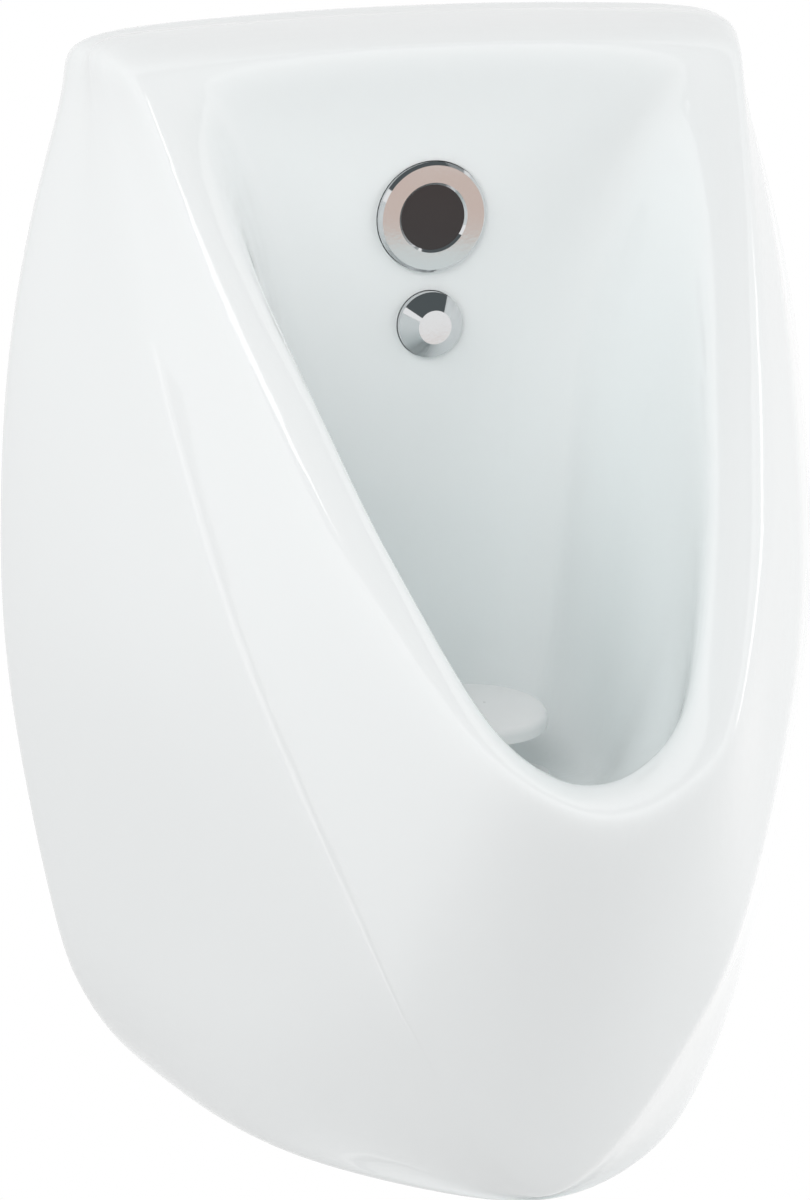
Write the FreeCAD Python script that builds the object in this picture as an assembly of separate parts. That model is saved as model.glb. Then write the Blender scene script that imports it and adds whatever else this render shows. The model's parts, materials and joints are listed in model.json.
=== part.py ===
import FreeCAD, Part
import math
import os

V = FreeCAD.Vector

# Overall sizes of the casting, in millimetres.
half_width = 214.0
rim_depth = 293.0
body_height = 566.0
wall_return = 22.0
return_inset = 9.0
ceramic_wall = 10.0
fixing_drop = 66.0
fixing_height = body_height - fixing_drop

# Edge softness of the casting.
outline_round = 5.0
crease_round = 5.0
crease_hold_share = 0.5
rim_round = 7.0
inner_round = 7.0

# Bowl floor and drain, measured before the outline and over the tip.
drain_depth_share = 0.314
drain_depth = rim_depth * drain_depth_share
floor_height_share = 0.3357
floor_height = body_height * floor_height_share
tail_r = 25.0
drain_gap = 2.5
drain_hole_r = tail_r + drain_gap
skin_lap = 1.0
skin_hole_r = tail_r - skin_lap
floor_ring_share = 0.262
floor_ring_r = half_width * floor_ring_share

# Small values shared by all pieces.
fit_gap = 0.3
slide_gap = 0.05
overrun = 1.0
rubber = 1.5
sheet = 2.0

# Sensor.
sensor_height_share = 0.82
sensor_height = body_height * sensor_height_share
sensor_depth_share = 0.1143
sensor_depth = rim_depth * sensor_depth_share
sensor_tilt = 8.0
bezel_r = 28.0
bezel_rise = 6.0
bezel_chamfer = 1.6
window_r = 17.5
window_thick = 2.3
window_hold = 1.0
window_lip = 1.2
barrel_r = 20.0
barrel_length = 27.0
barrel_wall = 3.0
sensor_boss = 13.0
lock_nut_high = 7.0
board_r = 16.6
board_thick = 1.6
diode_r = 2.5
diode_high = 8.0
diode_spacing = 12.0
board_low = -10.0
board_ledge = 1.5

# Water spreader.
spreader_height_share = 0.7245
spreader_height = body_height * spreader_height_share
spreader_depth_share = 0.0939
spreader_depth = rim_depth * spreader_depth_share
spreader_tilt = 6.0
spreader_r = 16.5
spreader_face_r = 8.5
spreader_rise = 13.0
spreader_wall = 2.0
stem_r = 10.0
stem_bore_r = 6.0
stem_length = 20.0
stem_flange_r = 13.0
spreader_boss = 12.0
back_nut_high = 7.0
elbow_r = 11.0
elbow_length = 17.0
elbow_port = 27.0

# Flush pipe.
pipe_r = 7.0
pipe_wall = 1.2
pipe_bend_r = 22.0
union_r = 10.5
union_length = 12.0

# Solenoid valve.
valve_x_share = 0.668
valve_x = half_width * valve_x_share
valve_depth = 38.0
valve_r = 22.0
valve_low = 10.0
valve_chamber_r = 15.0
chamber_floor = 8.0
seat_top = 14.0
valve_seat_r = 8.0
valve_seat_bore_r = 5.5
body_top = 26.5
port_r = 9.5
port_bore_r = 6.0
outlet_reach = 33.0
bonnet_high = 10.0
bonnet_cavity = 6.0
piston_high = 7.5
plunger_r = 4.2
plunger_length = 36.0
tube_wall = 1.3
tube_flange_r = 8.0
tube_length = 36.0
coil_r = 14.5
coil_high = 26.0
coil_nut_high = 4.0
spring_wire_r = 0.45
spring_turns = 5
plunger_rest = 0.5
socket_wide = 12.0
socket_reach = 9.0
screw_circle_r = 18.5
screw_r = 1.5
screw_head_r = 2.8
screw_head_high = 2.6
screw_length = 16.0
stop_r = 5.0
stop_boss_r = 8.0
stop_reach = 34.0
stop_length = 15.0
stop_slot = 1.4
nipple_r = 10.5
nipple_bore_r = 7.0
spigot_r = 7.8
spigot_bore_r = 5.2
inlet_face = 13.0
inlet_boss_r = 12.0
wall_gap = 0.5
filter_r = 6.7
filter_lip = 1.0

# Battery box.
box_x_share = 0.528
box_x = half_width * box_x_share
box_back = 34.0
box_low_share = 0.562
box_low = body_height * box_low_share
box_wall = 2.5
cell_r = 7.1
cell_length = 50.0
cell_side_gap = 0.65
cell_deep_gap = 0.4
cell_end_gap = 2.7
contact_thick = 0.8
lid_thick = 2.0
box_wide = 2 * box_wall + 4 * (cell_r + cell_side_gap)
box_deep = 2 * box_wall + lid_thick + 4 * (cell_r + cell_deep_gap)
box_high = cell_length + 2 * (box_wall + contact_thick + cell_end_gap)
lug_high = 40.0
lug_deep = 26.0
lug_root_share = 0.383
lug_root = half_width * lug_root_share

# Waste and trap.
flange_lap = 11.0
flange_r = tail_r + flange_lap
flange_thick = 3.0
tail_wall = 3.0
tail_end = 45.0
waste_nut_high = 10.0
washer_thick = 3.0
hub_r = 6.0
hub_bore_r = 3.2
hub_high = 6.0
strainer_bar = 4.0
cover_r = 34.5
cover_low = 30.0
cover_tilt = 11.0
cover_edge = 8.0
cover_crown = 3.0
cover_stem_r = 3.0
cover_stem_drop = 14.0
trap_room = 13.0
trap_r = tail_r + trap_room
trap_wall = 3.0
trap_top = 50.0
trap_bottom = 110.0
neck_lap = 6.0
neck_r = tail_r + neck_lap
neck_top = 34.0
cup_bottom = 145.0
cup_lap = 6.0
cup_ledge = 4.0
dip_end = 98.0
outlet_drop = 74.0
outlet_wall = 3.0
outlet_socket = 14.0
outlet_port_face = 52.0
union_lip = 3.0
union_lap = 7.0
hex_margin = 7.0

# Wall hangers.
hanger_spacing = 200.0
hanger_hole_r = 4.5
hanger_wide = 34.0
hanger_low = 18.0
hanger_arm = 17.0
hanger_steel = 4.0
hanger_reach = 34.0
hanger_lip = 16.0
pad_thick = 3.0
rib_wide = 28.0
rib_back = 10.0
rib_front = 28.0
rib_top = fixing_drop - ceramic_wall - sheet

# Key curves of the casting from the top centre round the right side to the bottom centre.
# Each point is a share of the half width, the rim depth and the height.
outline_shares = [
    (0, 1.002), (0.523, 0.996), (0.787, 0.982), (0.822, 0.94), (0.902, 0.845), (0.977, 0.707),
    (1.005, 0.548), (0.991, 0.406), (0.902, 0.216), (0.836, 0.145), (0.692, 0.073),
    (0.374, 0.019), (0, 0.004),
]
panel_shares = [
    (0, 0.038, 0.996), (0.523, 0.038, 0.989), (0.766, 0.038, 0.979), (0.79, 0.058, 0.938),
    (0.841, 0.099, 0.841), (0.879, 0.16, 0.707), (0.879, 0.222, 0.558), (0.822, 0.304, 0.417),
    (0.668, 0.345, 0.219), (0.612, 0.331, 0.125), (0.542, 0.283, 0.039), (0.322, 0.457, 0.011),
    (0, 0.546, -0.007),
]
crease_shares = [
    (0, 0.078, 0.992), (0.509, 0.078, 0.988), (0.762, 0.078, 0.98), (0.776, 0.109, 0.936),
    (0.783, 0.21, 0.841), (0.762, 0.346, 0.712), (0.71, 0.488, 0.569), (0.629, 0.604, 0.433),
    (0.446, 0.7, 0.237), (0.329, 0.689, 0.146), (0.201, 0.654, 0.064), (0.084, 0.628, 0.017),
    (0, 0.614, 0),
]
rim_outer_shares = [
    (0, 0.198, 0.977), (0.495, 0.198, 0.972), (0.71, 0.201, 0.959), (0.71, 0.246, 0.926),
    (0.659, 0.379, 0.822), (0.584, 0.536, 0.703), (0.519, 0.659, 0.613), (0.458, 0.761, 0.546),
    (0.35, 0.898, 0.456), (0.257, 0.969, 0.412), (0.168, 0.993, 0.387), (0.079, 1, 0.371),
    (0, 1, 0.366),
]
rim_inner_shares = [
    (0, 0.218, 0.966), (0.495, 0.222, 0.956), (0.57, 0.232, 0.936), (0.584, 0.263, 0.898),
    (0.542, 0.372, 0.807), (0.467, 0.529, 0.703), (0.402, 0.645, 0.617), (0.341, 0.727, 0.553),
    (0.248, 0.833, 0.463), (0.182, 0.867, 0.424), (0.126, 0.874, 0.405), (0.061, 0.877, 0.392),
    (0, 0.877, 0.389),
]
shoulder_shares = [
    (0, 0.147, 0.892), (0.383, 0.157, 0.889), (0.467, 0.181, 0.871), (0.486, 0.218, 0.837),
    (0.481, 0.314, 0.756), (0.439, 0.464, 0.664), (0.397, 0.57, 0.583), (0.355, 0.648, 0.525),
    (0.271, 0.771, 0.438), (0.201, 0.809, 0.403), (0.136, 0.819, 0.382), (0.065, 0.823, 0.369),
    (0, 0.823, 0.366),
]
throat_shares = [
    (0, 0.102, 0.76), (0.215, 0.106, 0.756), (0.336, 0.126, 0.739), (0.374, 0.15, 0.712),
    (0.411, 0.232, 0.643), (0.402, 0.375, 0.572), (0.379, 0.474, 0.514), (0.35, 0.56, 0.472),
    (0.28, 0.693, 0.406), (0.21, 0.737, 0.378), (0.145, 0.754, 0.362), (0.07, 0.758, 0.355),
    (0, 0.758, 0.352),
]
foot_shares = [
    (0, 0.085, 0.424), (0.178, 0.096, 0.42), (0.276, 0.119, 0.41), (0.304, 0.147, 0.399),
    (0.327, 0.208, 0.383), (0.318, 0.297, 0.366), (0.304, 0.362, 0.357), (0.28, 0.42, 0.35),
    (0.215, 0.512, 0.343), (0.168, 0.546, 0.341), (0.117, 0.563, 0.339), (0.056, 0.573, 0.339),
    (0, 0.573, 0.339),
]
half_count = len(crease_shares)
ring_count = 2 * (half_count - 1)
most_share = 0.45
hollow_rim_share = 0.4


# Helpers for turned and straight pieces.
def disc(r, low, high):
    return Part.makeCylinder(r, high - low, V(0, 0, low))


def tube(r, bore, low, high):
    return disc(r, low, high).cut(disc(bore, low - overrun, high + overrun))


def turned(points):
    """A solid of revolution about Z through (radius, height) points."""
    wire = Part.makePolygon([V(r, 0, z) for r, z in points + points[:1]])
    return Part.Face(wire).revolve(V(0, 0, 0), V(0, 0, 1), 360)


def hexagon(inner_r, low, high):
    """Half the width over flats is the given radius."""
    corner = inner_r / math.cos(math.pi / 6)
    turns = [k * math.pi / 3 for k in range(7)]
    points = [V(corner * math.cos(a), corner * math.sin(a), low) for a in turns]
    return Part.Face(Part.makePolygon(points)).extrude(V(0, 0, high - low))


def nut(inner_r, bore, low, high):
    return hexagon(inner_r, low, high).cut(disc(bore, low - overrun, high + overrun))


def block(x0, x1, y0, y1, z0, z1):
    return Part.makeBox(x1 - x0, y1 - y0, z1 - z0, V(x0, y0, z0))


def placed(shape, point, axis=V(1, 0, 0), angle=0):
    out = shape.copy()
    out.Placement = FreeCAD.Placement(point, FreeCAD.Rotation(axis, angle)).multiply(shape.Placement)
    return out


# Places of the groups.
def at(x, depth, height):
    """A point from its half-width place, its depth before the outline and its height over the tip."""
    return V(x, -wall_return - depth, height - fixing_height)


def on_sensor(shape):
    return placed(shape, at(0, sensor_depth, sensor_height), V(1, 0, 0), 90 + sensor_tilt)


def on_spreader(shape):
    return placed(shape, at(0, spreader_depth, spreader_height), V(1, 0, 0), 90 + spreader_tilt)


def on_drain(shape):
    return placed(shape, at(0, drain_depth, floor_height))


elbow_centre_low = -stem_length - elbow_length / 2
pipe_start = on_spreader(Part.Vertex(V(elbow_port, 0, elbow_centre_low))).Point
valve_point = V(valve_x, -valve_depth, pipe_start.z)


def on_valve(shape):
    return placed(shape, valve_point)


# The casting.
def closed(points):
    """The right half of a ring and its mirror image."""
    left = [V(-p.x, p.y, p.z) for p in reversed(points[1:-1])]
    return points + left


def ring_of(shares):
    return closed([at(x * half_width, d * rim_depth, z * body_height) for x, d, z in shares])


def mix(first, second, share):
    return [a + (b - a) * share for a, b in zip(first, second)]


def step(first, second, length):
    """A ring a set length away from the first, on the way to the second."""
    out = []
    for a, b in zip(first, second):
        way = b - a
        out.append(a + way * min(length / way.Length, most_share))
    return out


def sharpened(ring):
    """Control points whose spline runs through the points of the ring."""
    out = []
    for i, p in enumerate(ring):
        bend = ring[i - 1] + ring[(i + 1) % ring_count] - p * 2
        out.append(p - bend / 6)
    return out


def pushed(before, ring, after):
    """A control ring whose surface runs through the given ring."""
    return [b - (a + c - b * 2) / 6 for a, b, c in zip(before, ring, after)]


def sunk(before, ring, after, depth):
    """The ring moved into the ceramic, square to the glazed side."""
    out = []
    for i, p in enumerate(ring):
        along = ring[(i + 1) % ring_count] - ring[i - 1]
        across = after[i] - before[i]
        out.append(p + along.cross(across).normalize() * depth)
    return out


def skin(rings):
    """A smooth closed surface on control rings, from the first ring to the last."""
    first = mix(rings[0], rings[1], 1 / 3)
    last = mix(rings[-1], rings[-2], 1 / 3)
    poles = [rings[0], first] + rings[1:-1] + [last, rings[-1]]
    spans = len(rings) - 1
    surface = Part.BSplineSurface()
    surface.buildFromPolesMultsKnots(
        poles, [4] + [1] * (spans - 1) + [4], [1] * (ring_count + 1),
        list(range(spans + 1)), list(range(ring_count + 1)), False, True, 3, 3)
    return surface.toShape()


def drain_ring(radius, height):
    half = []
    for i in range(half_count):
        turn = math.pi * i / (half_count - 1)
        half.append(at(radius * math.sin(turn), drain_depth - radius * math.cos(turn), height))
    return closed(half)


def outline_ring(inset, depth):
    """The outline seen from the front, moved inwards and set at a depth."""
    ring = closed([at(x * half_width, depth, z * body_height) for x, z in outline_shares])
    out = []
    for i, p in enumerate(ring):
        along = ring[(i + 1) % ring_count] - ring[i - 1]
        out.append(p + V(along.z, 0, -along.x).normalize() * inset)
    return out


def corner(before, ring, after, length):
    """Two control rings that round the surface off at a ring."""
    return [step(ring, before, length), step(ring, after, length)]


def glazed_skin(key):
    back = sharpened(outline_ring(return_inset, -wall_return))
    rings = [sharpened(r) for r in key]
    outline, panel, crease, front, outer, inner, shoulder = rings[:7]
    out = [back] + corner(back, outline, panel, outline_round)
    out.append(pushed(outline, panel, crease))
    out.append(mix(crease, panel, crease_hold_share))
    out += corner(panel, crease, front, crease_round)
    out.append(mix(crease, front, crease_hold_share))
    out.append(front)
    out += corner(front, outer, inner, rim_round)
    out += corner(outer, inner, shoulder, inner_round)
    out += rings[6:]
    out += [drain_ring(floor_ring_r, floor_height), drain_ring(skin_hole_r, floor_height)]
    return skin(out)


def hidden_side(line):
    """The rings between the first and the last, moved into the ceramic."""
    return [sunk(line[i - 1], line[i], line[i + 1], ceramic_wall) for i in range(1, len(line) - 1)]


def hidden_skin(key):
    outline, panel, crease, front, outer, inner = key[:6]
    outside = hidden_side([outline, panel, crease, front, outer])
    inside = hidden_side(key[5:] + [drain_ring(floor_ring_r, floor_height)])
    hollow = mix(outside[-1], inside[0], 1 / 2)
    under_rim = mix(hollow, mix(outer, inner, 1 / 2), hollow_rim_share)
    low = floor_height - ceramic_wall
    rings = [outline_ring(return_inset + ceramic_wall, -wall_return), outline_ring(ceramic_wall, 0)]
    rings += outside + [under_rim] + inside
    drain = [drain_ring(floor_ring_r, low), drain_ring(skin_hole_r, low)]
    return skin([sharpened(r) for r in rings] + drain)


def end_edges(face):
    """The edge on the wall and the edge round the drain."""
    rounds = [e for e in face.Edges if e.isClosed()]
    rounds.sort(key=lambda e: e.BoundBox.YMax)
    return rounds[-1], rounds[0]


def casting():
    crease = ring_of(crease_shares)
    outer = ring_of(rim_outer_shares)
    throat = ring_of(throat_shares)
    foot = ring_of(foot_shares)
    key = [outline_ring(0, 0), ring_of(panel_shares), crease, mix(crease, outer, 1 / 2), outer,
           ring_of(rim_inner_shares), ring_of(shoulder_shares), throat, mix(throat, foot, 1 / 2), foot]
    glazed = glazed_skin(key)
    hidden = hidden_skin(key)
    wall_out, drain_out = end_edges(glazed)
    wall_in, drain_in = end_edges(hidden)
    back = Part.Face(Part.Wire(wall_out)).cut(Part.Face(Part.Wire(wall_in)))
    hole = Part.makeRuledSurface(drain_out, drain_in)
    shell = Part.makeShell([glazed, hidden, hole] + back.Faces)
    shell.sewShape()
    return Part.makeSolid(Part.Shell(shell.Faces))


def ceramic_body():
    """The casting with its holes, flat seats, bosses, hanger ribs and battery lug."""
    body = casting()
    drain_low = -ceramic_wall
    sensor_back = on_sensor(disc(bezel_r, -sensor_boss, 0))
    spreader_back = on_spreader(disc(spreader_r, -spreader_boss, 0))
    drain_back = on_drain(disc(flange_r, drain_low, -rubber))
    adds = [sensor_back, spreader_back, drain_back, battery_lug()]
    adds += [hanger_rib(side) for side in (-1, 1)]
    body = body.fuse(adds)
    cuts = [on_sensor(disc(barrel_r + fit_gap, -barrel_length, bezel_rise))]
    cuts.append(on_sensor(disc(bezel_r + fit_gap, 0, barrel_length)))
    cuts.append(on_spreader(disc(stem_r + fit_gap, -stem_length, spreader_rise)))
    cuts.append(on_spreader(disc(spreader_r + fit_gap, 0, stem_length)))
    cuts.append(on_drain(disc(drain_hole_r, drain_low - overrun, overrun)))
    cuts.append(on_drain(disc(flange_r + fit_gap, 0, cover_low)))
    for tool in cuts:
        body = body.cut(tool)
    return body


def battery_lug():
    """A flat pad on the hidden side of the bowl that the battery box is stuck to."""
    low = box_low + (box_high - lug_high) / 2 - fixing_height
    back = -box_back - box_deep
    return block(-box_x, -lug_root, back, back + lug_deep, low, low + lug_high)


def hanger_rib(side):
    """A rib under the top wall that hangs on a wall bracket."""
    centre = side * hanger_spacing / 2
    low = hanger_arm + hanger_steel + pad_thick
    return block(centre - rib_wide / 2, centre + rib_wide / 2, -rib_front, -rib_back, low, rib_top)


# Sensor.
def sensor_gasket():
    return on_sensor(tube(bezel_r - sheet, barrel_r + fit_gap, 0, rubber))


def sensor_bezel():
    front = rubber + bezel_rise
    lip = front - window_thick
    open_r = window_r - window_hold
    seat_r = window_r + slide_gap
    seat = front - window_lip
    ring = turned([(barrel_r + slide_gap, rubber), (bezel_r, rubber), (bezel_r, front - bezel_chamfer),
                   (bezel_r - bezel_chamfer, front), (open_r + window_lip, front), (open_r, seat),
                   (seat_r, seat), (seat_r, lip), (barrel_r + slide_gap, lip)])
    return on_sensor(ring)


def sensor_window():
    front = rubber + bezel_rise
    return on_sensor(disc(window_r, front - window_thick, front - window_lip))


def sensor_housing():
    top = rubber + bezel_rise - window_thick
    inner = barrel_r - barrel_wall
    low = -barrel_length
    ledge = inner - board_ledge
    cup = turned([(0, low), (barrel_r, low), (barrel_r, top), (inner, top), (inner, board_low),
                  (ledge, board_low), (ledge, low + barrel_wall), (0, low + barrel_wall)])
    return on_sensor(cup)


def sensor_lock_nut():
    low = -sensor_boss - lock_nut_high
    return on_sensor(nut(barrel_r + hex_margin, barrel_r + slide_gap, low, -sensor_boss))


def sensor_circuit_board():
    return on_sensor(disc(board_r, board_low, board_low + board_thick))


def infrared_diodes():
    low = board_low + board_thick
    pair = []
    for side in (-1, 1):
        body = disc(diode_r, low, low + diode_high - diode_r)
        body = body.fuse(Part.makeSphere(diode_r, V(0, 0, low + diode_high - diode_r)))
        pair.append(on_sensor(placed(body.removeSplitter(), V(side * diode_spacing / 2, 0, 0))))
    return Part.makeCompound(pair)


# Water spreader.
def spreader_gasket():
    return on_spreader(tube(stem_flange_r, stem_r + fit_gap, 0, rubber))


def spreader_stem():
    top = rubber + sheet
    head = spreader_rise - spreader_wall * 2
    stem = disc(stem_r, -stem_length, rubber)
    stem = stem.fuse([disc(stem_flange_r, rubber, top), disc(stem_r, top, head)])
    cuts = [disc(stem_bore_r, -stem_length - overrun, head - sheet)]
    for k in range(4):
        slot = block(0, stem_r + overrun, -stem_bore_r / 2, stem_bore_r / 2, top, head - sheet)
        cuts.append(placed(slot, V(0, 0, 0), V(0, 0, 1), k * 90))
    return on_spreader(stem.removeSplitter().cut(cuts))


def spreader_cap():
    low = rubber + sheet / 2
    head = spreader_rise - spreader_wall * 2
    inner = stem_flange_r + spreader_wall
    cap = turned([(0, spreader_rise), (spreader_face_r, spreader_rise),
                  (spreader_r, low + spreader_wall * 2), (spreader_r, low), (inner, low),
                  (inner, low + spreader_wall), (stem_r, head), (0, head)])
    return on_spreader(cap)


def spreader_back_nut():
    low = -spreader_boss - back_nut_high
    return on_spreader(nut(stem_r + hex_margin / 2, stem_r + slide_gap, low, -spreader_boss))


def flush_elbow():
    high = -stem_length
    low = high - elbow_length
    body = disc(elbow_r, low, high)
    centre = V(0, 0, elbow_centre_low)
    port = disc(elbow_length / 2 - slide_gap, 0, elbow_port)
    port = placed(port, centre, V(0, 1, 0), 90)
    bore = disc(pipe_r - pipe_wall, 0, elbow_port + overrun)
    bore = placed(bore, centre, V(0, 1, 0), 90)
    body = body.fuse(port).removeSplitter()
    return on_spreader(body.cut([disc(stem_bore_r, elbow_centre_low, high + overrun), bore]))


def pipe_end():
    """The outlet face of the valve."""
    return V(valve_x - outlet_reach, -valve_depth, pipe_start.z)


def pipe_route():
    """A straight run, two equal bends and a straight run, level behind the bowl."""
    start = pipe_start
    end = pipe_end()
    shift = start.y - end.y
    turn = math.acos(1 - shift / (2 * pipe_bend_r))
    half_run = pipe_bend_r * math.sin(turn)
    middle_x = end.x - union_length - half_run
    first = V(middle_x - half_run, start.y, start.z)
    last = V(middle_x + half_run, end.y, start.z)
    bend = pipe_bend_r * math.sin(turn / 2)
    drop = pipe_bend_r * (1 - math.cos(turn / 2))
    centre = V(middle_x, (start.y + end.y) / 2, start.z)
    parts = [Part.makeLine(start, first),
             Part.Arc(first, first + V(bend, -drop, 0), centre).toShape(),
             Part.Arc(centre, last + V(-bend, drop, 0), last).toShape(),
             Part.makeLine(last, end)]
    return Part.Wire(parts)


def flush_pipe():
    route = pipe_route()
    rings = []
    for r in (pipe_r, pipe_r - pipe_wall):
        circle = Part.makeCircle(r, pipe_start, V(1, 0, 0))
        rings.append(route.makePipeShell([Part.Wire(circle)], True, False))
    return rings[0].cut(rings[1])


def pipe_union_nuts():
    low = pipe_start - V(union_length / 2, 0, 0)
    high = pipe_end() - V(union_length / 2, 0, 0)
    pair = []
    for point, reach in ((low, 1), (high, -1)):
        body = nut(union_r, pipe_r + slide_gap, 0, union_length)
        socket_low = -overrun if reach > 0 else union_length / 2
        socket_high = union_length / 2 if reach > 0 else union_length + overrun
        body = body.cut(disc(port_r + slide_gap, socket_low, socket_high))
        pair.append(placed(body, point, V(0, 1, 0), 90))
    return Part.makeCompound(pair)


# Solenoid valve.
def valve_body():
    body = disc(valve_r, -valve_low, body_top)
    outlet = placed(disc(port_r, 0, outlet_reach), V(0, 0, 0), V(0, 1, 0), -90)
    inlet = placed(disc(inlet_boss_r, 0, valve_depth - inlet_face), V(0, 0, seat_top), V(1, 0, 0), -90)
    stop = placed(disc(stop_boss_r, 0, stop_reach), V(0, 0, seat_top), V(1, 0, 0), 90)
    body = body.fuse([outlet, inlet, stop]).removeSplitter()
    chamber = tube(valve_chamber_r, valve_seat_r, chamber_floor, seat_top)
    cuts = [chamber, disc(valve_chamber_r, seat_top, body_top + overrun)]
    cuts.append(disc(valve_seat_bore_r, 0, seat_top + overrun))
    cuts.append(placed(disc(port_bore_r, 0, outlet_reach + overrun), V(0, 0, 0), V(0, 1, 0), -90))
    inlet_bore = disc(spigot_r + slide_gap, valve_seat_r + sheet, valve_depth)
    cuts.append(placed(inlet_bore, V(0, 0, seat_top), V(1, 0, 0), -90))
    stop_bore = disc(stop_r + slide_gap, valve_chamber_r - overrun, stop_reach + overrun)
    cuts.append(placed(stop_bore, V(0, 0, seat_top), V(1, 0, 0), 90))
    for x, y in screw_places():
        hole = disc(screw_r + slide_gap, body_top - screw_length, body_top + overrun)
        cuts.append(hole.translate(V(x, y, 0)))
    return on_valve(body.cut(cuts))


def screw_places():
    turns = [math.pi / 4 + k * math.pi / 2 for k in range(4)]
    return [(screw_circle_r * math.cos(a), screw_circle_r * math.sin(a)) for a in turns]


def valve_bonnet():
    top = body_top + bonnet_high
    body = disc(valve_r, body_top, top)
    cuts = [disc(valve_chamber_r, body_top - overrun, body_top + bonnet_cavity)]
    cuts.append(disc(plunger_r + slide_gap, body_top, top + overrun))
    for x, y in screw_places():
        hole = disc(screw_r + slide_gap, body_top - overrun, top + overrun)
        cuts.append(hole.translate(V(x, y, 0)))
    return on_valve(body.cut(cuts))


def bonnet_screws():
    top = body_top + bonnet_high
    out = []
    for x, y in screw_places():
        head = disc(screw_head_r, top, top + screw_head_high)
        screw = disc(screw_r, top - screw_length, top).fuse(head)
        out.append(on_valve(screw.removeSplitter().translate(V(x, y, 0))))
    return Part.makeCompound(out)


def valve_piston():
    low = seat_top + fit_gap
    top = low + piston_high
    outer = valve_chamber_r - fit_gap
    pilot = plunger_r + sheet
    return on_valve(turned([(0, low), (outer, low), (outer, top), (pilot, top), (pilot, top - sheet),
                            (0, top - sheet)]))


def valve_core_tube():
    low = body_top + bonnet_high
    top = low + sheet + tube_length
    outer = plunger_r + tube_wall
    inner = plunger_r + slide_gap
    return on_valve(turned([(inner, low), (tube_flange_r, low), (tube_flange_r, low + sheet),
                            (outer, low + sheet), (outer, top), (0, top), (0, top - sheet),
                            (inner, top - sheet)]))


def plunger_low():
    """Just over the pilot hollow of the piston."""
    return seat_top + fit_gap + piston_high - sheet + plunger_rest


def valve_plunger():
    low = plunger_low()
    return on_valve(disc(plunger_r, low, low + plunger_length))


def plunger_spring():
    low = plunger_low() + plunger_length
    high = body_top + bonnet_high + tube_length
    mid_r = plunger_r - spring_wire_r * 3
    return on_valve(coil(mid_r, low + spring_wire_r, high - spring_wire_r))


def coil(mid_r, low, high):
    """A helical wire with a set number of turns."""
    helix = Part.makeHelix((high - low) / spring_turns, high - low, mid_r)
    circle = Part.makeCircle(spring_wire_r, V(mid_r, 0, 0), V(0, 1, 0))
    wire = Part.Wire(helix.Edges).makePipeShell([Part.Wire(circle)], True, True)
    return wire.translate(V(0, 0, low))


def valve_coil():
    low = body_top + bonnet_high + sheet
    body = tube(coil_r, plunger_r + tube_wall + slide_gap, low, low + coil_high)
    half = socket_wide / 2
    end = -coil_r - socket_reach
    foot = low + sheet
    socket = block(-half, half, end, -coil_r + sheet, foot, foot + socket_wide)
    hollow = block(-half + box_wall, half - box_wall, end - overrun, -coil_r - sheet,
                   foot + box_wall, foot + socket_wide - box_wall)
    return on_valve(body.fuse(socket).removeSplitter().cut(hollow))


def coil_nut():
    low = body_top + bonnet_high + sheet + coil_high
    return on_valve(nut(tube_flange_r, plunger_r + tube_wall + slide_gap, low, low + coil_nut_high))


def stop_screw():
    high = stop_reach + sheet
    body = disc(stop_r, high - stop_length, high)
    slot = block(-stop_r, stop_r, -stop_slot / 2, stop_slot / 2, high - sheet, high + overrun)
    return on_valve(placed(body.cut(slot), V(0, 0, seat_top), V(1, 0, 0), 90))


def on_inlet(shape):
    """Along the supply axis, with zero on the wall."""
    return placed(shape, V(valve_x, 0, valve_point.z + seat_top), V(1, 0, 0), 90)


def inlet_nipple():
    deep = valve_depth - valve_chamber_r - overrun
    step_at = inlet_face - sheet
    return on_inlet(turned([(nipple_bore_r, wall_gap), (nipple_r, wall_gap), (nipple_r, inlet_face),
                            (spigot_r, inlet_face), (spigot_r, deep), (spigot_bore_r, deep),
                            (spigot_bore_r, step_at), (nipple_bore_r, step_at)]))


def inlet_filter():
    step_at = inlet_face - sheet
    low = wall_gap + sheet
    inside = low + sheet / 2
    side_r = filter_r - filter_lip
    return on_inlet(turned([(0, low), (side_r, low), (side_r, step_at - sheet), (filter_r, step_at - sheet),
                            (filter_r, step_at), (spigot_bore_r, step_at),
                            (spigot_bore_r - filter_lip / 2, inside), (0, inside)]))


# Battery box, open towards the wall and closed by a sliding lid.
def box_corner():
    return V(-box_x - box_wide, -box_back - box_deep, box_low - fixing_height)


def battery_box():
    body = block(0, box_wide, 0, box_deep, 0, box_high)
    inside = block(box_wall, box_wide - box_wall, box_wall, box_deep + overrun,
                   box_wall, box_high - box_wall)
    groove = block(box_wall / 2, box_wide - box_wall / 2, box_deep - box_wall - lid_thick - fit_gap,
                   box_deep - box_wall, -overrun, box_high - box_wall / 2)
    return body.cut([inside, groove]).translate(box_corner())


def battery_lid():
    side = box_wall / 2 + fit_gap
    high = box_deep - box_wall - fit_gap / 2
    plate = block(side, box_wide - side, high - lid_thick, high, 0, box_high - side)
    grip = block(box_wide / 4, box_wide * 3 / 4, high, high + box_wall / 2, box_wall, box_wall * 2)
    return plate.fuse(grip).removeSplitter().translate(box_corner())


def battery_cells():
    pitch = (box_wide - 2 * box_wall) / 2
    low = box_wall + contact_thick
    out = []
    for column in range(2):
        for row in range(2):
            x = box_wall + pitch * (column + 1 / 2)
            y = box_wall + cell_r + fit_gap + (2 * cell_r + fit_gap) * row
            high = low + cell_length
            button = disc(cell_r / 3, high, high + contact_thick)
            cell = disc(cell_r, low, high).fuse(button).removeSplitter()
            out.append(cell.translate(V(x, y, 0) + box_corner()))
    return Part.makeCompound(out)


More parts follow.
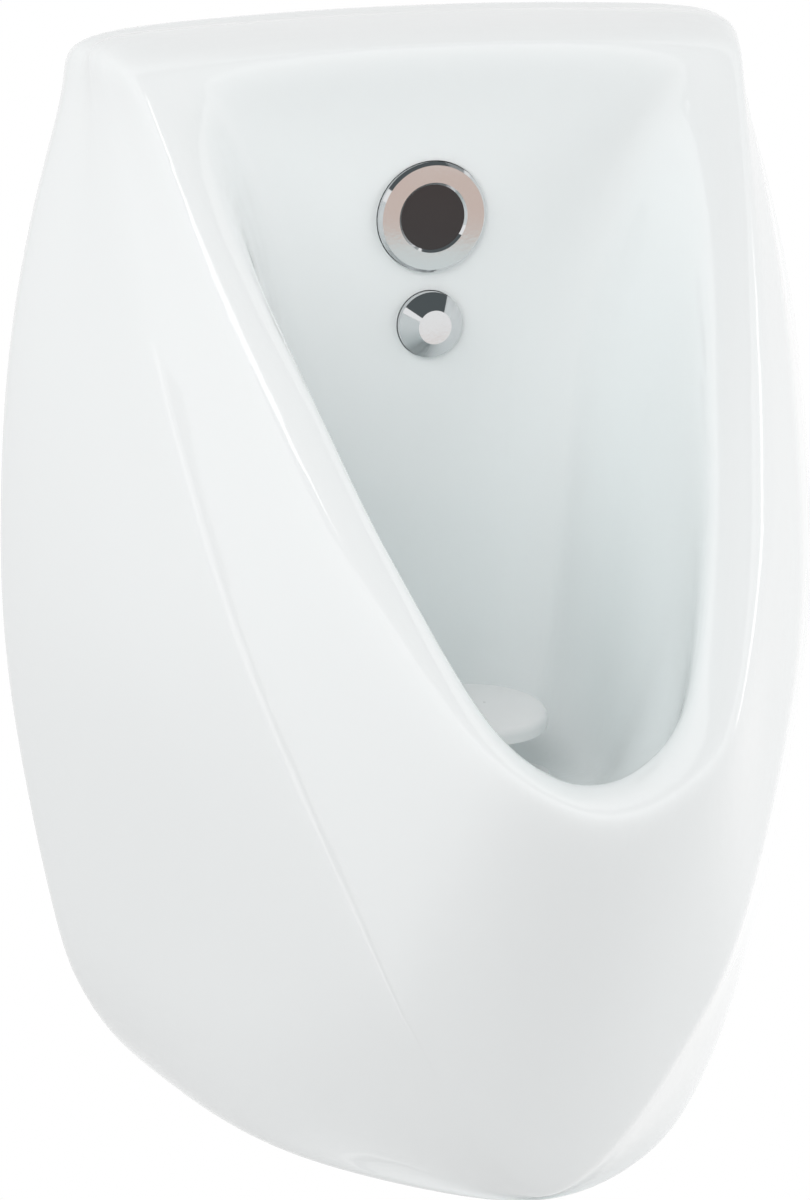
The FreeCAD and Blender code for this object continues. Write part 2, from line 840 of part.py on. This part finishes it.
def battery_contacts():
    """One plate under the cells and one over them, each across the box."""
    side = box_wall + fit_gap
    deep = box_wall + 4 * cell_r
    out = []
    for low in (box_wall, box_high - box_wall - contact_thick):
        plate = block(side, box_wide - side, side, deep, low, low + contact_thick)
        out.append(plate.translate(box_corner()))
    return Part.makeCompound(out)


# Waste, measured from the floor of the bowl.
def waste_seal():
    return on_drain(tube(flange_r - sheet, tail_r + fit_gap, 0, rubber))


def waste_flange():
    top = rubber + flange_thick
    bore = tail_r - tail_wall
    body = turned([(bore, -tail_end), (tail_r, -tail_end), (tail_r, rubber), (flange_r, rubber),
                   (flange_r - flange_thick / 2, top), (bore, top)])
    bars = [disc(hub_r, 0, hub_high)]
    for k in range(2):
        bar = block(-bore - overrun, bore + overrun, -strainer_bar / 2, strainer_bar / 2, 0, top)
        bars.append(placed(bar, V(0, 0, 0), V(0, 0, 1), k * 90))
    body = body.fuse(bars).removeSplitter()
    return on_drain(body.cut(disc(hub_bore_r, -overrun, hub_high + overrun)))


def waste_washer():
    return on_drain(tube(flange_r, tail_r + fit_gap, -ceramic_wall - washer_thick, -ceramic_wall))


def waste_nut():
    high = -ceramic_wall - washer_thick
    return on_drain(nut(tail_r + hex_margin, tail_r + slide_gap, high - waste_nut_high, high))


def cover_cap():
    """A domed cap with a rounded edge and a hollow underside."""
    half = cover_edge / 2
    reach = cover_r - half
    bend = half * math.sqrt(1 / 2)
    rim = Part.Arc(V(cover_r, 0, half), V(reach + bend, 0, half + bend), V(reach, 0, cover_edge)).toShape()
    dome_r = (reach ** 2 + cover_crown ** 2) / (2 * cover_crown)
    peak = cover_edge + cover_crown
    half_way = V(reach / 2, 0, peak - dome_r + math.sqrt(dome_r ** 2 - reach ** 2 / 4))
    crown = Part.Arc(V(reach, 0, cover_edge), half_way, V(0, 0, peak)).toShape()
    points = [(0, peak), (0, half), (reach, half), (reach, 0), (cover_r, 0), (cover_r, half)]
    rest = Part.makePolygon([V(r, 0, z) for r, z in points])
    face = Part.Face(Part.Wire(Part.__sortEdges__([rim, crown] + rest.Edges)))
    return face.revolve(V(0, 0, 0), V(0, 0, 1), 360)


def drain_cover():
    """The cap leans forwards on a stem that stands in the hub of the flange."""
    cap = placed(cover_cap(), V(0, 0, cover_low), V(1, 0, 0), cover_tilt)
    collar = disc(hub_r, hub_high + fit_gap / 2, cover_low + cover_edge)
    stem = disc(cover_stem_r, -cover_stem_drop, cover_low)
    return on_drain(cap.fuse([collar, stem]).removeSplitter())


def trap_union_nut():
    high = -neck_top + union_lip
    body = hexagon(neck_r + hex_margin, high - union_lap - union_lip, high + union_lip)
    neck_hole = disc(neck_r + slide_gap, -cup_bottom, high)
    tail_hole = disc(tail_r + slide_gap, -cup_bottom, 0)
    return on_drain(body.cut([neck_hole, tail_hole]))


def trap_neck_seal():
    return on_drain(tube(neck_r, tail_r + slide_gap, -neck_top, -neck_top + union_lip))


def trap_dip_tube():
    return on_drain(tube(tail_r, tail_r - tail_wall, -dip_end, -tail_end))


def on_outlet(shape):
    """Along the waste outlet, with zero on the wall."""
    point = at(0, drain_depth, floor_height)
    return placed(shape, V(0, 0, point.z - outlet_drop), V(1, 0, 0), 90)


def trap_body():
    axis_depth = wall_return + drain_depth
    bore = tail_r + slide_gap
    inner = trap_r - trap_wall
    roof = -trap_top - trap_wall
    body = turned([(bore, -neck_top), (neck_r, -neck_top), (neck_r, -trap_top), (trap_r, roof),
                   (trap_r, -trap_bottom), (inner, -trap_bottom), (inner, roof - trap_wall), (bore, roof)])
    port_end = axis_depth - tail_r - sheet
    port = on_outlet(disc(tail_r + outlet_wall, outlet_port_face, port_end))
    inside = on_drain(disc(inner, -trap_bottom, roof - trap_wall))
    body = on_drain(body).fuse(port.cut(inside)).removeSplitter()
    socket = disc(bore, outlet_port_face - overrun, outlet_port_face + outlet_socket)
    way = disc(tail_r - tail_wall, outlet_port_face, port_end)
    return body.cut([on_outlet(socket), on_outlet(way)])


def trap_cup():
    bore = trap_r + slide_gap
    outer = bore + trap_wall
    top = -trap_bottom + cup_lap
    ledge = -trap_bottom - rubber
    bend = ledge - cup_lap
    foot_r = trap_r - trap_wall
    inner = bore - cup_ledge
    floor = -cup_bottom + trap_wall
    return on_drain(turned([(bore, top), (outer, top), (outer, bend), (foot_r, -cup_bottom),
                            (0, -cup_bottom), (0, floor), (foot_r - trap_wall, floor), (inner, bend),
                            (inner, ledge), (bore, ledge)]))


def trap_cup_seal():
    return on_drain(tube(trap_r, trap_r - trap_wall, -trap_bottom - rubber, -trap_bottom))


def outlet_pipe():
    bore = tail_r - tail_wall
    free_end = outlet_port_face - union_lip * 2 - sheet
    socket_end = outlet_port_face + outlet_socket
    inner_r = tail_r - fit_gap
    return on_outlet(turned([(bore, wall_gap), (tail_r, wall_gap), (tail_r, free_end), (inner_r, free_end),
                             (inner_r, socket_end), (bore, socket_end)]))


def outlet_nut():
    socket_r = tail_r + outlet_wall
    low = outlet_port_face - union_lip
    high = low + union_lap + union_lip
    body = hexagon(socket_r + hex_margin, low - union_lip, high)
    socket_hole = disc(socket_r + slide_gap, low, high + overrun)
    pipe_hole = disc(tail_r + slide_gap, 0, low + overrun)
    return on_outlet(body.cut([socket_hole, pipe_hole]))


def outlet_seal():
    low = outlet_port_face - union_lip
    return on_outlet(tube(tail_r + outlet_wall, tail_r + slide_gap, low, outlet_port_face))


# Wall hangers.
def hanger_bracket(side):
    """A plate with a screw hole and a hooked arm, in one folded strip."""
    half = hanger_wide / 2
    high = hanger_arm + hanger_steel
    tip = hanger_arm + hanger_lip
    lip_back = -hanger_reach + hanger_steel
    points = [(0, -hanger_low), (-hanger_steel, -hanger_low), (-hanger_steel, hanger_arm),
              (-hanger_reach, hanger_arm), (-hanger_reach, tip), (lip_back, tip), (lip_back, high),
              (0, high), (0, -hanger_low)]
    profile = Part.makePolygon([V(-half, y, z) for y, z in points])
    strip = Part.Face(profile).extrude(V(hanger_wide, 0, 0))
    hole = placed(disc(hanger_hole_r, -overrun, hanger_steel + overrun), V(0, 0, 0), V(1, 0, 0), 90)
    return strip.cut(hole).translate(V(side * hanger_spacing / 2, 0, 0))


def hanger_brackets():
    return Part.makeCompound([hanger_bracket(side) for side in (-1, 1)])


def hanger_pads():
    low = hanger_arm + hanger_steel
    pads = []
    for side in (-1, 1):
        centre = side * hanger_spacing / 2
        pads.append(block(centre - rib_wide / 2, centre + rib_wide / 2, -rib_front, -rib_back,
                          low, low + pad_thick))
    return Part.makeCompound(pads)


nodes = [ceramic_body, sensor_gasket, sensor_bezel, sensor_window, sensor_housing, sensor_lock_nut,
         sensor_circuit_board, infrared_diodes, spreader_gasket, spreader_stem, spreader_cap,
         spreader_back_nut, flush_elbow, flush_pipe, pipe_union_nuts, valve_body, valve_bonnet,
         bonnet_screws, valve_piston, valve_core_tube, valve_plunger, plunger_spring, valve_coil,
         coil_nut, stop_screw, inlet_nipple, inlet_filter, battery_box, battery_lid, battery_cells,
         battery_contacts, waste_seal, waste_flange, waste_washer, waste_nut, drain_cover,
         trap_union_nut, trap_neck_seal, trap_dip_tube, trap_body, trap_cup, trap_cup_seal,
         outlet_pipe, outlet_nut, outlet_seal, hanger_brackets, hanger_pads]

os.makedirs("parts", exist_ok=True)
for node in nodes:
    shape = node()
    print(node.__name__, shape.isValid(), len(shape.Solids), round(shape.Volume))
    shape.exportStep("parts/" + node.__name__ + ".step")
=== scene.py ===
import json
import math

import bpy
from mathutils import Matrix, Vector


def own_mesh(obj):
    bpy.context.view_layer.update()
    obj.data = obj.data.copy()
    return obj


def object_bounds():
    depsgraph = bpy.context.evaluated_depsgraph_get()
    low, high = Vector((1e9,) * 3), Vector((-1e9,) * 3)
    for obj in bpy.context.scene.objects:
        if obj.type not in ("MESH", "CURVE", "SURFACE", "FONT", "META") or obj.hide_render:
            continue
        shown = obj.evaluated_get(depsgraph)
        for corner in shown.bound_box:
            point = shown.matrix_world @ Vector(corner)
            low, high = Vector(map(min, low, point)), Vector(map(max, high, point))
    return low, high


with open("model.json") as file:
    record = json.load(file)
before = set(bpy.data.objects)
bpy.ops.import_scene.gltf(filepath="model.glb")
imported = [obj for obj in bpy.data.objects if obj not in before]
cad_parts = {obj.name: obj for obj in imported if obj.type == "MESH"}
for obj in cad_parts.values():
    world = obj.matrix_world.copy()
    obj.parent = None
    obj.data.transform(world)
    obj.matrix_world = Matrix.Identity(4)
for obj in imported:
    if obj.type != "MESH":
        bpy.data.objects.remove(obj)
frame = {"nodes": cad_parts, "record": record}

cad_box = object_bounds()
nodes = frame["nodes"]

# The one piece that the highlight panels light.
glazed = bpy.data.collections.new("glazed")
glazed.objects.link(nodes["ceramic_body"])

# Camera, in metres and degrees, as it stood for the photograph.
image_height_px = 1200
focal_px = 6889
sensor_mm = 36.0
aim_point = Vector((0, -0.142, -0.22))
camera_azimuth = 19.66
camera_elevation = 9.04
camera_distance = 3.343
camera_yaw = 0.751
camera_pitch = 0.082
camera_roll = -1.084

# Stage, in metres.
upright = Vector((0, 0, 1))
floor_drop = 0.75
floor_radius = 1.2
floor_thickness = 0.02
floor_sides = 96
light_distance = 2.2

# Highlights, in metres and degrees: the places they are aimed at, and how their panels stand.
left_rim = Vector((-0.13, -0.15, -0.06))
right_rim = Vector((0.14, -0.13, -0.06))
left_crease = Vector((-0.145, -0.182, -0.222))
glint_distance = 0.6
glint_spread = math.radians(36)
crease_roll = 7.6
crease_shift = -0.44

# Mirrored cards: the pieces that show them, and where those look.
sensor_ring = Vector((0, -0.063, -0.037))
ring_sees = Vector((0.327, -0.875, -0.356))
ring_card_distance = 2.6
ring_card_width = 0.2
ring_card_roll = 3.4
ring_card_top = 0.06
ring_card_split = -0.018
ring_card_bottom = -0.09
spreader = Vector((0, -0.062, -0.091))
spreader_sees = Vector((0.05, -0.6, 0.8))

# Surround: its mean strength, how it leans with direction, its tint, and the tint of the panels.
surround_strength = 0.493
surround_lean = (-0.147, 0.0, 0.0)
surround_tint = (1.035, 0.985, 0.985, 1)
panel_tint = (1.0, 0.962, 0.962)
background_strength = 1.0

# Finish of all materials: how the roughness wavers, and how deep the grain is, in metres.
least_roughness = 0.01
coat_roughness = 0.05
grains_per_waver = 8
waver_detail = 3
grain_detail = 2
grain_depth = 0.0004

# Colours, as linear values.
white = (1, 1, 1, 1)
black = (0, 0, 0, 1)
glaze_colour = (0.86, 0.92, 0.922, 1)
white_plastic_colour = (0.86, 0.885, 0.885, 1)
chrome_colour = (0.72, 0.73, 0.74, 1)
window_colour = (0.028, 0.024, 0.025, 1)
black_plastic_colour = (0.03, 0.03, 0.032, 1)
grey_plastic_colour = (0.42, 0.43, 0.44, 1)
rubber_colour = (0.03, 0.03, 0.03, 1)
brass_colour = (0.6, 0.42, 0.17, 1)
steel_colour = (0.5, 0.5, 0.51, 1)
board_colour = (0.02, 0.12, 0.05, 1)
diode_colour = (0.06, 0.03, 0.08, 1)
cell_colour = (0.12, 0.14, 0.17, 1)
floor_colour = (0.8, 0.8, 0.8, 1)
warm_card_colour = (0.74, 0.595, 0.53, 1)
cool_card_colour = (0.758, 0.827, 0.824, 1)
dark_card_colour = (0.1, 0.115, 0.12, 1)
dim_card_colour = (0.25, 0.25, 0.25, 1)


def noise(tree, scale, detail):
    """Noise on the object's own coordinates."""
    place = tree.nodes.new("ShaderNodeTexCoord")
    texture = tree.nodes.new("ShaderNodeTexNoise")
    texture.inputs["Scale"].default_value = scale
    texture.inputs["Detail"].default_value = detail
    tree.links.new(place.outputs["Object"], texture.inputs["Vector"])
    return texture.outputs["Fac"]


def finish_material(name, colour, rough, grain, bump, metal=0, coat=0.0, spread=0.06, shine=0.5):
    """A material whose roughness wavers and whose surface has a fine grain."""
    made = bpy.data.materials.new(name)
    made.use_nodes = True
    tree = made.node_tree
    shader = tree.nodes["Principled BSDF"]
    shader.inputs["Base Color"].default_value = colour
    shader.inputs["Metallic"].default_value = metal
    shader.inputs["Specular IOR Level"].default_value = shine
    shader.inputs["Coat Weight"].default_value = coat
    shader.inputs["Coat Roughness"].default_value = coat_roughness
    rough_range = tree.nodes.new("ShaderNodeMapRange")
    rough_range.inputs["To Min"].default_value = max(rough - spread, least_roughness)
    rough_range.inputs["To Max"].default_value = rough + spread
    tree.links.new(noise(tree, grain / grains_per_waver, waver_detail), rough_range.inputs["Value"])
    tree.links.new(rough_range.outputs["Result"], shader.inputs["Roughness"])
    relief = tree.nodes.new("ShaderNodeBump")
    relief.inputs["Strength"].default_value = bump
    relief.inputs["Distance"].default_value = grain_depth
    tree.links.new(noise(tree, grain, grain_detail), relief.inputs["Height"])
    tree.links.new(relief.outputs["Normal"], shader.inputs["Normal"])
    return made


def all_materials():
    """The material of each slot."""
    return {
        "glazed_white": finish_material("glaze", glaze_colour, rough=0.3, grain=40, bump=0.02,
                                        coat=1.0, spread=0.03, shine=0.2),
        "white_plastic": finish_material("white plastic", white_plastic_colour,
                                         rough=0.3, grain=300, bump=0.05),
        "chrome": finish_material("chrome", chrome_colour, rough=0.05, grain=600, bump=0.01,
                                  metal=1, spread=0.015),
        "dark_window": finish_material("dark window", window_colour, rough=0.1, grain=500, bump=0.01,
                                       spread=0.03),
        "black_plastic": finish_material("black plastic", black_plastic_colour,
                                         rough=0.5, grain=900, bump=0.15),
        "grey_plastic": finish_material("grey plastic", grey_plastic_colour,
                                        rough=0.45, grain=900, bump=0.12),
        "rubber": finish_material("rubber", rubber_colour, rough=0.75, grain=1200, bump=0.2),
        "brass": finish_material("brass", brass_colour, rough=0.3, grain=700, bump=0.08, metal=1),
        "steel": finish_material("steel", steel_colour, rough=0.35, grain=900, bump=0.1, metal=1),
        "board": finish_material("board", board_colour, rough=0.5, grain=800, bump=0.1),
        "diode": finish_material("diode", diode_colour, rough=0.15, grain=600, bump=0.03),
        "cell_shell": finish_material("cell shell", cell_colour, rough=0.35, grain=500, bump=0.05),
    }


def dress():
    """Each CAD node takes the material of its slot."""
    made = all_materials()
    for part in frame["record"]["subparts"]:
        mesh = nodes[part["node"]].data
        mesh.materials.clear()
        mesh.materials.append(made[part["material_slot"]])


def squeeze_spring():
    """The spring of the valve gets a mesh of its own."""
    spring = nodes["plunger_spring"]
    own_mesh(spring)


def towards(azimuth, elevation):
    """Unit vector; azimuth turns from the front to the left as the user sees it."""
    az = math.radians(azimuth)
    el = math.radians(elevation)
    return Vector((-math.sin(az) * math.cos(el), -math.cos(az) * math.cos(el), math.sin(el)))


def turned(first, second, degrees):
    """Two axes at right angles, turned in their plane from the first towards the second."""
    turn = math.radians(degrees)
    new_first = first * math.cos(turn) + second * math.sin(turn)
    new_second = second * math.cos(turn) - first * math.sin(turn)
    return new_first, new_second


def stand_camera():
    """The camera of the photograph."""
    back = towards(camera_azimuth, camera_elevation)
    forward = Matrix.Rotation(math.radians(camera_yaw), 3, "Z") @ -back
    right = forward.cross(upright).normalized()
    up = right.cross(forward)
    forward, up = turned(forward, up, camera_pitch)
    right, up = turned(right, up, camera_roll)
    data = bpy.data.cameras.new("camera")
    data.sensor_width = sensor_mm
    data.lens = focal_px * sensor_mm / image_height_px
    camera = bpy.data.objects.new("camera", data)
    bpy.context.scene.collection.objects.link(camera)
    turn = Matrix((right, up, -forward)).transposed().to_4x4()
    camera.matrix_world = Matrix.Translation(aim_point + back * camera_distance) @ turn
    bpy.context.scene.camera = camera


def lay_floor():
    """A small pale floor below the object, left out of mirrors."""
    low = cad_box[0][2] - floor_drop
    bpy.ops.mesh.primitive_cylinder_add(vertices=floor_sides, radius=floor_radius, depth=floor_thickness,
                                        location=(aim_point.x, aim_point.y, low - floor_thickness / 2))
    floor = bpy.context.object
    floor.name = "floor"
    floor.visible_glossy = False
    floor.data.materials.append(finish_material("floor", floor_colour, rough=0.6, grain=60, bump=0.05))


def light_world():
    """A bright surround: plain white where the camera, a mirror or glass shows it."""
    world = bpy.data.worlds.new("studio")
    bpy.context.scene.world = world
    world.use_nodes = True
    tree = world.node_tree
    back = tree.nodes["Background"]
    place = tree.nodes.new("ShaderNodeTexCoord")
    lean = tree.nodes.new("ShaderNodeVectorMath")
    lean.operation = "DOT_PRODUCT"
    lean.inputs[1].default_value = surround_lean
    tree.links.new(place.outputs["Generated"], lean.inputs[0])
    graded = tree.nodes.new("ShaderNodeMath")
    graded.operation = "ADD"
    graded.inputs[1].default_value = surround_strength
    tree.links.new(lean.outputs["Value"], graded.inputs[0])
    path = tree.nodes.new("ShaderNodeLightPath")
    seen = path.outputs["Is Camera Ray"]
    for ray in ("Is Glossy Ray", "Is Transmission Ray"):
        either = tree.nodes.new("ShaderNodeMath")
        either.operation = "MAXIMUM"
        tree.links.new(seen, either.inputs[0])
        tree.links.new(path.outputs[ray], either.inputs[1])
        seen = either.outputs["Value"]
    strength = tree.nodes.new("ShaderNodeMix")
    strength.inputs["B"].default_value = background_strength
    tree.links.new(seen, strength.inputs["Factor"])
    tree.links.new(graded.outputs["Value"], strength.inputs["A"])
    tree.links.new(strength.outputs["Result"], back.inputs["Strength"])
    tint = tree.nodes.new("ShaderNodeMix")
    tint.data_type = "RGBA"
    colour_a, colour_b = [s for s in tint.inputs if s.type == "RGBA"]
    colour_a.default_value = surround_tint
    colour_b.default_value = white
    tree.links.new(seen, tint.inputs["Factor"])
    tinted = [s for s in tint.outputs if s.type == "RGBA"][0]
    tree.links.new(tinted, back.inputs["Color"])


def add_light(name, azimuth, elevation, width, height, radiance, centre=aim_point, distance=light_distance):
    """A soft panel that faces the object, left out of mirrors."""
    away = towards(azimuth, elevation)
    data = bpy.data.lights.new(name, "AREA")
    data.shape = "RECTANGLE"
    data.size = width
    data.size_y = height
    data.color = panel_tint
    data.energy = radiance * math.pi * width * height
    panel = bpy.data.objects.new(name, data)
    panel.location = centre + away * distance
    panel.rotation_euler = away.to_track_quat("Z", "Y").to_euler()
    panel.visible_glossy = False
    bpy.context.scene.collection.objects.link(panel)
    return panel


def set_lights():
    """The panels that light the whole object."""
    add_light("left panel", azimuth=60, elevation=30, width=1.2, height=1.2, radiance=1.4)
    add_light("right panel", azimuth=-65, elevation=8, width=1.6, height=2.0, radiance=2.45)
    add_light("low panel", azimuth=35, elevation=-10, width=1.0, height=0.8, radiance=1.3)
    add_light("front panel", azimuth=28, elevation=35, width=1.0, height=1.4, radiance=2.4)
    add_light("high panel", azimuth=80, elevation=45, width=1.4, height=1.4, radiance=0.6)


def glint_only(thing):
    """Leaves a light or card to be seen in shiny surfaces alone."""
    thing.visible_camera = False
    thing.visible_diffuse = False
    thing.visible_transmission = False
    thing.visible_shadow = False


def add_glint(name, edge, azimuth, elevation, width, height, radiance):
    """A panel that shows as a bright line on a glazed edge, and nowhere else."""
    panel = add_light(name, azimuth, elevation, width, height, radiance, edge, glint_distance)
    glint_only(panel)
    panel.visible_glossy = True
    panel.light_linking.receiver_collection = glazed
    return panel


def set_glints():
    """Lines along the outer edges of the rim and down the left crease."""
    rim = add_glint("left rim panel", left_rim, azimuth=50, elevation=42,
                    width=0.2, height=0.2, radiance=0.16)
    rim.data.spread = glint_spread
    add_glint("right rim panel", right_rim, azimuth=-98, elevation=-4,
              width=0.08, height=0.5, radiance=1.5)
    crease = add_glint("left crease panel", left_crease, azimuth=103.3, elevation=-8,
                       width=0.035, height=1.55, radiance=0.75)
    crease.rotation_euler.rotate_axis("Z", math.radians(crease_roll))
    crease.location += crease.rotation_euler.to_matrix() @ Vector((0, crease_shift, 0))


def add_card(name, colour, start, along, distance, width, low, high, roll):
    """A card seen from a start point in a direction, from low to high across that direction."""
    along = along.normalized()
    side = along.cross(upright).normalized()
    up = side.cross(along)
    side, up = turned(side, up, -roll)
    middle = start + along * distance
    ends = ((-1, low), (1, low), (1, high), (-1, high))
    corners = [middle + side * s * width / 2 + up * h for s, h in ends]
    mesh = bpy.data.meshes.new(name)
    mesh.from_pydata([tuple(c) for c in corners], [], [(0, 1, 2, 3)])
    made = bpy.data.materials.new(name)
    made.use_nodes = True
    shader = made.node_tree.nodes["Principled BSDF"]
    shader.inputs["Base Color"].default_value = black
    shader.inputs["Specular IOR Level"].default_value = 0
    shader.inputs["Emission Color"].default_value = colour
    shader.inputs["Emission Strength"].default_value = 1
    mesh.materials.append(made)
    card = bpy.data.objects.new(name, mesh)
    bpy.context.scene.collection.objects.link(card)
    glint_only(card)


def set_cards():
    """Cards that the sensor ring, the left crease and the spreader mirror."""
    add_card("warm card", warm_card_colour, sensor_ring, ring_sees, ring_card_distance, ring_card_width,
             ring_card_split, ring_card_top, ring_card_roll)
    add_card("cool card", cool_card_colour, sensor_ring, ring_sees, ring_card_distance, ring_card_width,
             ring_card_bottom, ring_card_split, ring_card_roll)
    add_card("crease card", dim_card_colour, left_crease, towards(azimuth=96, elevation=-8),
             distance=glint_distance, width=0.058, low=-1.22, high=0.34, roll=crease_roll)
    add_card("dark card", dark_card_colour, spreader, spreader_sees,
             distance=0.7, width=1.75, low=-0.36, high=0.36, roll=-15)


dress()
squeeze_spring()
stand_camera()
lay_floor()
light_world()
set_lights()
set_glints()
set_cards()
bpy.context.scene.view_settings.view_transform = "Standard"
